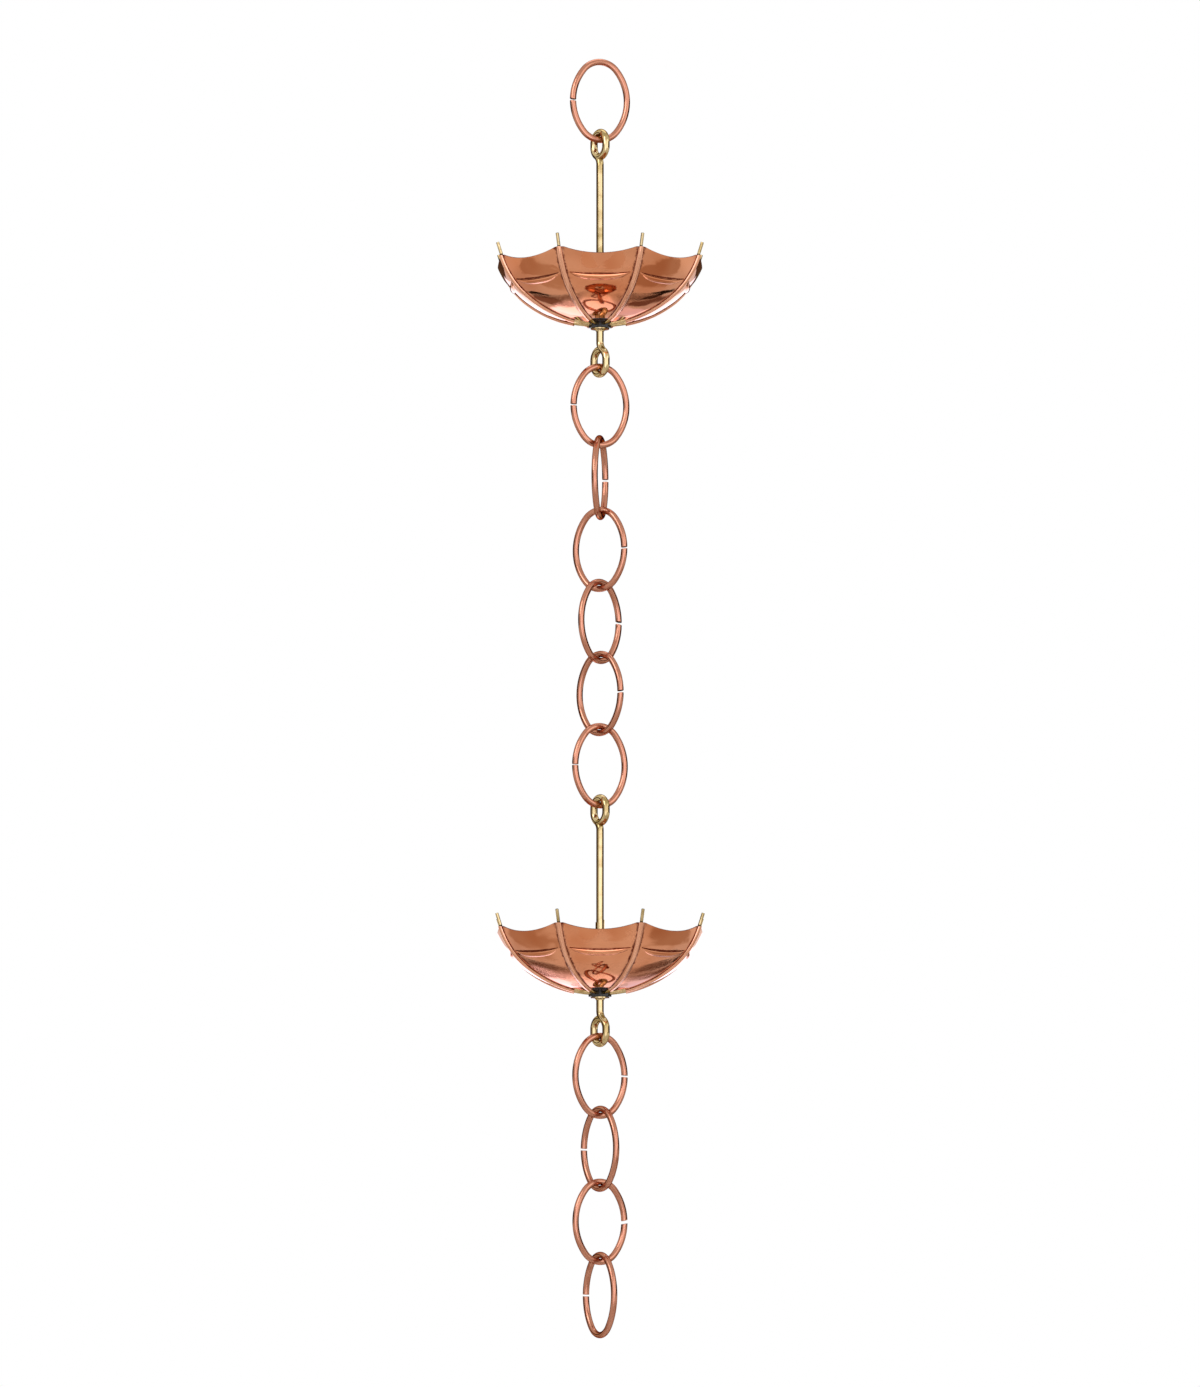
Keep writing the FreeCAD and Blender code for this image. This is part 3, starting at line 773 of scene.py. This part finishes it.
def canopy(rib, sheet, seed):
    """The pressed sheet's outside: half a panel, mirrored and repeated, then gently waved."""
    panel = HalfPanel(rib, sheet)
    mesh = bmesh.new()
    row_of = mesh.verts.layers.int.new("row")
    oxide_and_shade_of = mesh.verts.layers.float.new(OXIDE_AND_SHADE)
    open_of = mesh.verts.layers.float.new(OPEN)
    # A vertex is spun into a line of rows and the line into columns, then each vertex goes to its place
    first = bmesh.ops.create_vert(mesh, co=(panel.rim_reach, 0.0, 0.0))["vert"]
    bmesh.ops.spin(mesh, geom=first, cent=(0.0, 0.0, 0.0), axis=(0.0, -1.0, 0.0),
                   angle=radians(60.0), steps=panel.rows)
    for row, vert in enumerate(sorted(mesh.verts, key=lambda v: v.co.z)):
        vert[row_of] = row
    bmesh.ops.rotate(mesh, verts=mesh.verts, matrix=Matrix.Rotation(panel.half_step, 3, "Z"))
    bmesh.ops.spin(mesh, geom=everything(mesh), cent=(0.0, 0.0, 0.0), axis=AXIS,
                   angle=-panel.half_step, steps=panel.columns)
    for vert in mesh.verts:
        turned = panel.half_step - atan2(vert.co.y, vert.co.x)
        column = round(turned / panel.half_step * panel.columns)
        vert.co, vert[oxide_and_shade_of], vert[open_of] = panel.point(column, vert[row_of])
    bmesh.ops.mirror(mesh, geom=everything(mesh), matrix=Matrix.Identity(4), merge_dist=2e-6, axis="Y")
    bmesh.ops.spin(mesh, geom=everything(mesh), cent=(0.0, 0.0, 0.0), axis=AXIS, use_duplicate=True,
                   angle=tau * (rib.count - 1) / rib.count, steps=rib.count - 1)
    bmesh.ops.remove_doubles(mesh, verts=mesh.verts, dist=4e-6)
    bmesh.ops.recalc_face_normals(mesh, faces=mesh.faces)
    inside = AXIS * panel.rim_reach
    outward = sum(face.normal.dot(face.calc_center_median() - inside) for face in mesh.faces)
    if outward < 0:
        bmesh.ops.reverse_faces(mesh, faces=mesh.faces)
    mesh.normal_update()
    for vert in mesh.verts:
        slow = noise.noise(vert.co / LONG_WAVE + Vector((seed, 0.0, 0.0)))
        quick = noise.noise(vert.co / SHORT_WAVE + Vector((0.0, seed, 0.0)))
        vert.co += vert.normal * sheet.wave * vert[open_of] * (slow + SHORT_SHARE * quick)
    return mesh


def turned_ring(section, steps, sweep=tau):
    """A ring, or part of one, turned from a closed section in the XZ plane."""
    mesh = bmesh.new()
    verts = [mesh.verts.new((x, 0.0, z)) for x, z in section]
    outline = [mesh.edges.new((verts[i - 1], verts[i])) for i in range(len(verts))]
    full = sweep >= tau
    if not full:
        bmesh.ops.edgeloop_fill(mesh, edges=outline)
    last = bmesh.ops.spin(mesh, geom=outline, cent=(0.0, 0.0, 0.0), axis=AXIS, angle=sweep, steps=steps,
                          use_merge=full)["geom_last"]
    if not full:
        bmesh.ops.edgeloop_fill(mesh, edges=edges_of(last))
    bmesh.ops.remove_doubles(mesh, verts=mesh.verts, dist=1e-6)
    bmesh.ops.recalc_face_normals(mesh, faces=mesh.faces)
    return mesh


def soften(piece, width):
    """Rounds a piece's sharp edges a little, so that they catch the light."""
    rounding = piece.modifiers.new("edge", "BEVEL")
    rounding.width = width
    rounding.segments = 2
    rounding.limit_method = "ANGLE"
    rounding.angle_limit = radians(EDGE_ANGLE)
    rounding.harden_normals = True


# Pieces

class RAINCHAIN_OT_links(bpy.types.Operator):
    """Bends the copper links, each with its own slanted cut"""
    bl_idname = "rainchain.links"
    bl_label = "Copper links"

    def execute(self, context):
        settings = context.scene.rain_chain
        link = settings.link
        metal = made_once("drawn_copper_wire", drawn_copper_wire, settings.finish)
        end = link.end_radius + link.wire / 2
        half_width = (link.opening_width + link.wire) / 2
        rise = (link.opening_length + link.wire) / 2 - end
        side_radius = (half_width ** 2 + rise ** 2 - end ** 2) / (2 * (half_width - end))
        side_turn = atan2(rise, side_radius - half_width)
        end_turn = pi - 2 * side_turn
        for node, (turn, side, gap, slant) in LINKS.items():
            gap_turn = gap / 2 / side_radius
            start = (half_width - side_radius + side_radius * cos(gap_turn), 0.0,
                     side_radius * sin(gap_turn))
            wire = Wire(link.wire, start, pi / 2 + gap_turn)
            wire.bend(side_radius, side_turn - gap_turn).bend(end, end_turn)
            wire.bend(side_radius, 2 * side_turn)
            wire.bend(end, end_turn).bend(side_radius, side_turn - gap_turn)
            mesh = wire.close(LINK_CUT, radians(slant))
            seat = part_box(node)[1].z - link.wire
            facing = radians(turn) + (pi if side < 0 else 0.0)
            middle = Matrix.Translation((0.0, 0.0, seat - link.opening_length / 2))
            bmesh.ops.transform(mesh, matrix=middle @ Matrix.Rotation(facing, 4, "Z"), verts=mesh.verts)
            add_piece(mesh, f"copper_{node}", node, node, metal)
        return {"FINISHED"}


class RAINCHAIN_OT_stems(bpy.types.Operator):
    """Bends each brass stem, with an eye at both ends"""
    bl_idname = "rainchain.stems"
    bl_label = "Brass stems"

    def execute(self, context):
        settings = context.scene.rain_chain
        stem = settings.stem
        metal = made_once("satin_brass_rod", satin_brass, settings.finish)
        radius = stem.rod / 2
        eye = stem.eye_width / 2 + radius
        neck = stem.neck_radius + radius
        lean = acos(neck / (neck + eye))
        outside = eye + radius
        clear = neck + radius + stem.end_gap
        cosine = ((neck + eye) ** 2 + outside ** 2 - clear ** 2) / (2 * (neck + eye) * outside)
        last = pi / 2 + lean - acos(cosine)
        for cup in CUPS:
            wire = Wire(stem.rod, (0.0, 0.0, -stem.drop), pi / 2)
            wire.run(stem.rise + stem.drop)
            for back in (False, True):
                if back:
                    wire.turn_back()
                wire.bend(neck, lean).bend(eye, -lean).run(stem.eye_straight)
                wire.bend(eye, -pi).run(stem.eye_straight).bend(eye, -last)
            mesh = wire.close(STEM_CUT, both=False)
            set_in_cup(mesh, settings, cup, stem.turn)
            add_piece(mesh, f"brass_{cup}_stem", f"{cup}_stem", f"{cup}_cup", metal)
        return {"FINISHED"}


class RAINCHAIN_OT_ribs(bpy.types.Operator):
    """Bends the brass ribs that lie in the canopies' channels"""
    bl_idname = "rainchain.ribs"
    bl_label = "Brass ribs"

    def execute(self, context):
        settings = context.scene.rain_chain
        rib = settings.rib
        metal = made_once("satin_brass_wire", satin_brass, settings.finish)
        first = asin(rib.inner_end / rib.base_radius)
        start = (rib.inner_end, 0.0, rib.base_radius * (1 - cos(first)))
        for cup in CUPS:
            for number in range(rib.count):
                wire = Wire(rib.wire, start, first)
                wire.bend(rib.base_radius, rib.shoulder_slope - first)
                wire.bend(rib.shoulder_radius, rib.rim_slope - rib.shoulder_slope).run(rib.tip)
                mesh = wire.close(RIB_CUT)
                for vert in mesh.verts:
                    past_rim = vert[wire.straight].x - wire.along + rib.tip
                    if abs(past_rim) < RIB_DIRT:
                        vert[wire.cut] = 1.0 - abs(past_rim) / RIB_DIRT / 2
                set_in_cup(mesh, settings, cup, (number + 0.5) * tau / rib.count)
                name = f"{cup}_rib_{number + 1}"
                add_piece(mesh, f"brass_{name}", name, f"{cup}_cup", metal)
        return {"FINISHED"}


class RAINCHAIN_OT_canopies(bpy.types.Operator):
    """Presses the copper canopies, with rib channels, beads, scalloped rim and drain"""
    bl_idname = "rainchain.canopies"
    bl_label = "Copper canopies"

    def execute(self, context):
        settings = context.scene.rain_chain
        metal = made_once("polished_copper_sheet", polished_copper_sheet, settings.finish)
        for seed, cup in enumerate(CUPS, start=1):
            mesh = canopy(settings.rib, settings.sheet, WAVE_SHIFT * seed)
            set_in_cup(mesh, settings, cup)
            node = f"{cup}_canopy"
            piece = add_piece(mesh, f"copper_{node}", node, f"{cup}_cup", metal, sharp=75.0)
            wall = piece.modifiers.new("wall", "SOLIDIFY")
            wall.thickness = settings.sheet.thickness
            wall.offset = -1.0
            wall.use_even_offset = True
            soften(piece, settings.sheet.thickness / 4)
        return {"FINISHED"}


class RAINCHAIN_OT_fittings(bpy.types.Operator):
    """Makes the hub, the collar and the sleeve on each stem"""
    bl_idname = "rainchain.fittings"
    bl_label = "Hubs, collars and sleeves"

    def execute(self, context):
        settings = context.scene.rain_chain
        fitting = settings.fitting
        lacquer = made_once("black_lacquer", black_lacquer, settings.finish)
        brass = made_once("satin_brass_fittings", satin_brass, settings.finish)
        bore = settings.stem.rod / 2 + fitting.stem_fit
        kinds = (
            (self.hub, "black", "hub", "black_hub", lacquer, fitting.hub_edge),
            (self.collar, "brass", "collar", "brass_fittings", brass, fitting.collar_thickness / 5),
            (self.sleeve, "brass", "sleeve", "brass_fittings", brass, fitting.sleeve_wall_top / 5),
        )
        for cup in CUPS:
            for make, tone, kind, slot, material, edge in kinds:
                mesh = make(settings, bore, cup)
                node = f"{cup}_{kind}"
                piece = add_piece(mesh, f"{tone}_{node}", node, f"{cup}_cup", material, sharp=30.0)
                soften(piece, edge)
        return {"FINISHED"}

    def hub(self, settings, bore, cup):
        """A flat-sided block round the stem, with a side for each rib."""
        fitting = settings.fitting
        count = settings.rib.count
        mesh = bmesh.new()
        radius = fitting.hub_across / 2 / cos(pi / count)
        bmesh.ops.create_circle(mesh, segments=count, radius=radius, cap_ends=True)
        block = mesh.faces[:]
        wall = fitting.hub_across / 2 - bore
        bmesh.ops.inset_region(mesh, faces=block, thickness=wall, use_boundary=True, use_even_offset=True)
        bmesh.ops.delete(mesh, geom=block, context="FACES_ONLY")
        bmesh.ops.translate(mesh, verts=mesh.verts, vec=-AXIS * fitting.hub_below)
        raised = bmesh.ops.extrude_face_region(mesh, geom=mesh.faces[:], use_keep_orig=True)["geom"]
        rise = AXIS * (fitting.hub_below + fitting.hub_above)
        bmesh.ops.translate(mesh, verts=verts_of(raised), vec=rise)
        bmesh.ops.recalc_face_normals(mesh, faces=mesh.faces)
        set_in_cup(mesh, settings, cup)
        return mesh

    def collar(self, settings, bore, cup):
        """A thin flange with a hollow solder fillet under it."""
        fitting = settings.fitting
        top = -fitting.hub_below
        bottom = top - fitting.collar_thickness
        fillet = fitting.collar_fillet
        mesh = turned_ring([
            (bore, top),
            (fitting.collar / 2, top),
            (fitting.collar / 2, bottom),
            (bore + fillet, bottom),
            (bore + fillet * 0.55, bottom - fillet * 0.25),
            (bore + fillet * 0.3, bottom - fillet * 0.6),
            (bore + fillet * 0.25, bottom - fillet),
            (bore, bottom - fillet),
        ], RING_STEPS)
        set_in_cup(mesh, settings, cup)
        return mesh

    def sleeve(self, settings, bore, cup):
        """A strip rolled round the stem, open on one side and lower at one edge."""
        fitting = settings.fitting
        sweep = tau - fitting.sleeve_open
        mesh = turned_ring([
            (bore, fitting.hub_above),
            (bore + fitting.sleeve_wall_bottom, fitting.hub_above),
            (bore + fitting.sleeve_wall_top, fitting.sleeve_top),
            (bore, fitting.sleeve_top),
        ], SLEEVE_STEPS, sweep)
        for vert in mesh.verts:
            if vert.co.z > fitting.sleeve_top / 2:
                share = (atan2(vert.co.y, vert.co.x) + 1e-4) % tau / sweep
                vert.co.z -= fitting.sleeve_drop * share
        set_in_cup(mesh, settings, cup, fitting.sleeve_seam + fitting.sleeve_open)
        return mesh


def upright(degrees):
    """Stands a studio card up, turned about the vertical."""
    return Matrix.Rotation(radians(degrees), 3, "Z") @ Matrix.Rotation(pi / 2, 3, "X")


def lying(degrees):
    """Lays a studio card down, turned about the vertical."""
    return Matrix.Rotation(radians(degrees), 3, "Z")


def aim(name, data, place, direction):
    """Puts a lamp or a camera in the scene and points it."""
    thing = bpy.data.objects.new(name, data)
    thing.location = place
    thing.rotation_mode = "QUATERNION"
    thing.rotation_quaternion = direction.to_track_quat("-Z", "Y")
    bpy.context.scene.collection.objects.link(thing)
    return thing


class RAINCHAIN_OT_stage(bpy.types.Operator):
    """Sets the pale floor, the soft light, the reflection cards and the camera"""
    bl_idname = "rainchain.stage"
    bl_label = "Studio"

    def execute(self, context):
        low, high = CAD_BOX
        centre = (low + high) / 2
        self.world(context)
        self.floor(low.z - FLOOR_DROP)
        front = centre + Vector((0.0, -2.8, -0.1))
        self.card("front_softbox", front, (2.8, 3.3), upright(0.0), "#ECEEFF", 2.8, ragged=True)
        for number, bearing in enumerate(WALL_BEARINGS, start=1):
            place = lying(bearing) @ Vector((0.0, WALL_AWAY, 0.0)) + AXIS * (high.z + 0.22)
            self.card(f"back_wall_{number}", place, WALL_SIZE, upright(bearing), "#5A4430")
        behind = Vector((0.0, 1.75, low.z + 0.22))
        self.card("back_window", behind, (1.3, 1.0), upright(0.0), "#F1EEFF", 2.2)
        for name, (bearing, away, width, reach, code, strength) in PATCHES.items():
            facing = lying(bearing)
            place = facing @ Vector((0.0, away, 0.0)) + AXIS * (low.z - CLOTH_DROP)
            self.card(name, place, (width, reach), facing, code, strength, ragged=True)
        for name, (shift, size, power, code) in LAMPS.items():
            self.lamp(name, centre + Vector(shift), centre, size, power, code)
        self.camera(context, centre)
        return {"FINISHED"}

    def world(self, context):
        """A white room, a little dimmer as a light on matt things than as it is seen and reflected."""
        world = bpy.data.worlds.new("white_studio")
        world.use_nodes = True
        tree = world.node_tree
        tree.nodes.clear()
        path = add(tree, "LightPath")
        seen = add(tree, "Math", {0: path.outputs["Is Camera Ray"], 1: path.outputs["Is Glossy Ray"]},
                   operation="MAXIMUM")
        shown = add(tree, "Math", {0: seen, 1: path.outputs["Is Transmission Ray"]}, operation="MAXIMUM")
        level = add(tree, "MapRange", {0: shown, 3: ROOM_LIGHT, 4: 1.0})
        sky = add(tree, "Background", {"Color": linear("#FFFFFF"), "Strength": level})
        add(tree, "OutputWorld", {"Surface": sky})
        context.scene.world = world
        context.scene.view_settings.view_transform = "Standard"

    def floor(self, height):
        """A wide sheet of white paper under the chain."""
        mesh = bmesh.new()
        bmesh.ops.create_grid(mesh, x_segments=1, y_segments=1, size=8.0)
        bmesh.ops.translate(mesh, verts=mesh.verts, vec=AXIS * height)
        material, tree = new_material("matt_white_paper")
        paper = add(tree, "BsdfDiffuse", {"Color": linear("#F4F2EF")})
        # The sheet of paper ends softly, 2 to 6 m from the chain, and can be seen through from below
        place = add(tree, "TexCoord").outputs["Object"]
        away = add(tree, "VectorMath", {0: place, 1: (1.0, 1.0, 0.0)}, operation="MULTIPLY")
        reach = add(tree, "VectorMath", {0: away}, operation="LENGTH")
        fade = add(tree, "MapRange", {0: reach, 1: 2.0, 2: 6.0}, interpolation_type="SMOOTHSTEP")
        under = add(tree, "NewGeometry").outputs["Backfacing"]
        open_part = add(tree, "Math", {0: fade, 1: under}, operation="MAXIMUM")
        clear = add(tree, "BsdfTransparent")
        shader = add(tree, "MixShader", {0: open_part, 1: paper, 2: clear})
        add(tree, "OutputMaterial", {"Surface": shader})
        self.put(mesh, "floor", material)

    def card(self, name, place, size, facing, code, strength=1.0, ragged=False):
        """A card or a crumpled cloth that only the metal's reflections see, as beside a studio set."""
        mesh = bmesh.new()
        mesh.loops.layers.uv.new("UVMap")
        bmesh.ops.create_grid(mesh, x_segments=1, y_segments=1, size=0.5, calc_uvs=True)
        lay = Matrix.Translation(place) @ facing.to_4x4() @ Matrix.Diagonal((*size, 1.0, 1.0))
        bmesh.ops.transform(mesh, matrix=lay, verts=mesh.verts)
        material, tree = new_material(name)
        shader = add(tree, "Emission", {"Color": linear(code), "Strength": strength})
        if ragged:
            where = add(tree, "TexCoord")
            middle = add(
                tree, "Mapping", {0: where.outputs["UV"], 1: (-1.0, -1.0, 0.0), 3: (2.0, 2.0, 1.0)})
            oval = add(tree, "TexGradient", {0: middle}, gradient_type="SPHERICAL")
            # Folds 0.35 m across
            fold = add(
                tree, "TexNoise", {"Vector": where.outputs["Object"], "Scale": 1 / 0.35, "Detail": 1.5})
            torn = add(tree, "Math", {0: fold, 1: 0.8, 2: oval.outputs["Fac"]}, operation="MULTIPLY_ADD")
            cover = add(tree, "MapRange", {0: torn, 1: 0.5, 2: 0.75}, interpolation_type="SMOOTHSTEP")
            clear = add(tree, "BsdfTransparent")
            shader = add(tree, "MixShader", {0: cover, 1: clear, 2: shader})
        add(tree, "OutputMaterial", {"Surface": shader})
        card = self.put(mesh, name, material)
        card.visible_camera = False
        card.visible_diffuse = False
        card.visible_shadow = False

    def put(self, mesh, name, material):
        """Makes a mesh a part of the stage."""
        thing = as_object(mesh, name, material)
        return thing

    def lamp(self, name, place, target, size, power, code):
        """A square lamp that faces a target."""
        data = bpy.data.lights.new(name, "AREA")
        data.color = linear(code)[:3]
        data.energy = power
        data.size = size
        aim(name, data, place, target - place)

    def camera(self, context, centre):
        """A long lens that looks slightly up at the chain, as in the photo."""
        data = bpy.data.cameras.new("camera")
        data.lens = 200.0
        data.sensor_width = 36.0
        data.clip_end = 100.0
        away = 5.75
        tilt = radians(-5.5)
        back = Vector((0.0, -cos(tilt), sin(tilt)))
        context.scene.camera = aim("camera", data, centre + back * away, -back)


class RAINCHAIN_PT_panel(bpy.types.Panel):
    """Lists the pieces of the rain chain"""
    bl_idname = "RAINCHAIN_PT_panel"
    bl_label = "Rain chain"
    bl_space_type = "VIEW_3D"
    bl_region_type = "UI"
    bl_category = "Rain chain"

    def draw(self, context):
        for operator in OPERATORS:
            self.layout.operator(operator.bl_idname)
        settings = context.scene.rain_chain
        for group in settings.__annotations__:
            box = self.layout.box()
            box.label(text=group.capitalize())
            values = getattr(settings, group)
            for name in values.__annotations__:
                box.prop(values, name, text=name.replace("_", " ").capitalize())


OPERATORS = (
    RAINCHAIN_OT_links,
    RAINCHAIN_OT_stems,
    RAINCHAIN_OT_ribs,
    RAINCHAIN_OT_canopies,
    RAINCHAIN_OT_fittings,
    RAINCHAIN_OT_stage,
)
CLASSES = (
    RAINCHAIN_PG_link,
    RAINCHAIN_PG_stem,
    RAINCHAIN_PG_rib,
    RAINCHAIN_PG_sheet,
    RAINCHAIN_PG_fitting,
    RAINCHAIN_PG_finish,
    RAINCHAIN_PG_settings,
    *OPERATORS,
    RAINCHAIN_PT_panel,
)


def register():
    for cls in CLASSES:
        bpy.utils.register_class(cls)
    bpy.types.Scene.rain_chain = bpy.props.PointerProperty(type=RAINCHAIN_PG_settings)


def unregister():
    del bpy.types.Scene.rain_chain
    for cls in reversed(CLASSES):
        bpy.utils.unregister_class(cls)


def main():
    register()
    bpy.ops.rainchain.links()
    bpy.ops.rainchain.stems()
    bpy.ops.rainchain.ribs()
    bpy.ops.rainchain.canopies()
    bpy.ops.rainchain.fittings()
    bpy.ops.rainchain.stage()


if __name__ == "__main__":
    main()
